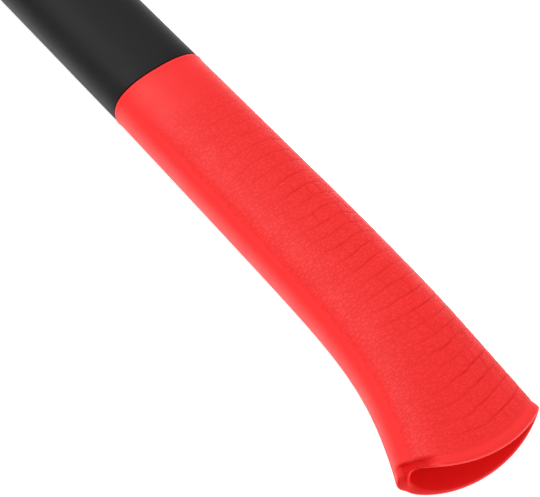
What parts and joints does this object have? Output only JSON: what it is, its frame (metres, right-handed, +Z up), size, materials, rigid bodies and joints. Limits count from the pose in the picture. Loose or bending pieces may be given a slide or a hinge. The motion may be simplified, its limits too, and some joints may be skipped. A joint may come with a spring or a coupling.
{
  "type": "fire axe",
  "caption": "Pick head fire axe with a steel head, a black oval fibreglass handle and a flared red rubber grip.",
  "frame": {"origin": "on the surface the axe lies on, below the middle of its outline", "axes": "+X along the handle from the head to the butt, +Y towards the pick, -Y towards the blade, +Z up through the cheeks"},
  "size_m": [0.9, 0.3299, 0.036],
  "materials": {
    "axe_head": "gloss red enamel, ground bright at the edge and pick",
    "lock_pin": "bright",
    "epoxy_bond": "cast resin",
    "eye_gasket": "closed cell foam",
    "core_rod": "pultruded glass fibre",
    "shaft_jacket": "satin",
    "overstrike_collar": "matte",
    "grip_sleeve": "soft satin with creased grain",
    "end_seal": "matte"
  },
  "bodies": {
    "root": {"axe_head": "axe_head", "lock_pin": "lock_pin", "epoxy_bond": "epoxy_bond", "eye_gasket": "eye_gasket", "core_rod": "core_rod", "shaft_jacket": "shaft_jacket", "overstrike_collar": "overstrike_collar", "grip_sleeve": "grip_sleeve", "end_seal": "end_seal"}
  },
  "joints": []
}
